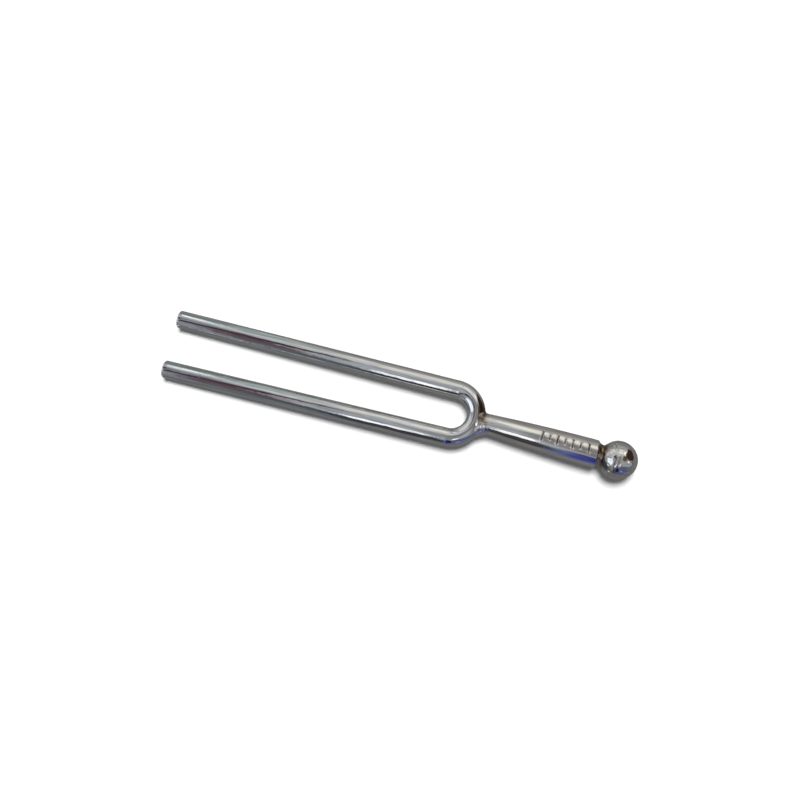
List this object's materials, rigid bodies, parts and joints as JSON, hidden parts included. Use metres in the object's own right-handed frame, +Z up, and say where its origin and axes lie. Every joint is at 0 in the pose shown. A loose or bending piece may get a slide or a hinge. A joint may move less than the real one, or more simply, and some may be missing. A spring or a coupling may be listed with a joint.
{
  "type": "tuning fork",
  "caption": "Round-tined tuning fork: a plated steel bar bent into a U, a tapered stem brazed to its crown, and a ball at the stem's end.",
  "frame": {"origin": "on the surface that the fork lies on, under the middle of its box", "axes": "+X from the tine tips towards the ball, +Y towards the left tine, +Z up. The fork lies on its tips and its ball, so its own plane rises 1.2 degrees towards the ball."},
  "size_m": [0.122, 0.0182, 0.0095],
  "materials": {
    "bar": "bright nickel plate on polished steel",
    "stem": "bright nickel plate, finely turned",
    "ball": "bright nickel plate, tarnished brown at the neck",
    "braze": "plated brazing filler, stained brown"
  },
  "bodies": {
    "handle": {"crown_bend": "bar", "stem": "stem", "ball": "ball", "stem_braze": "braze", "neck_braze": "braze"},
    "left_tine": {"left_tine": "bar"},
    "right_tine": {"right_tine": "bar"}
  },
  "joints": [
    {"name": "left_tine_flex", "type": "hinge", "parent": "handle", "child": "left_tine", "pos_m": [0.0012, 0.00626, 0.00359], "axis": [-0.021, 0, 0.9998], "range_deg": [-0.45, 0.45], "stiffness_Nm_per_rad": 1},
    {"name": "right_tine_flex", "type": "hinge", "parent": "handle", "child": "right_tine", "pos_m": [0.0012, -0.00626, 0.00359], "axis": [-0.021, 0, 0.9998], "range_deg": [-0.45, 0.45], "stiffness_Nm_per_rad": 1}
  ],
  "couplings": [
    {"joint": "right_tine_flex", "follows": "left_tine_flex", "ratio": -1}
  ]
}
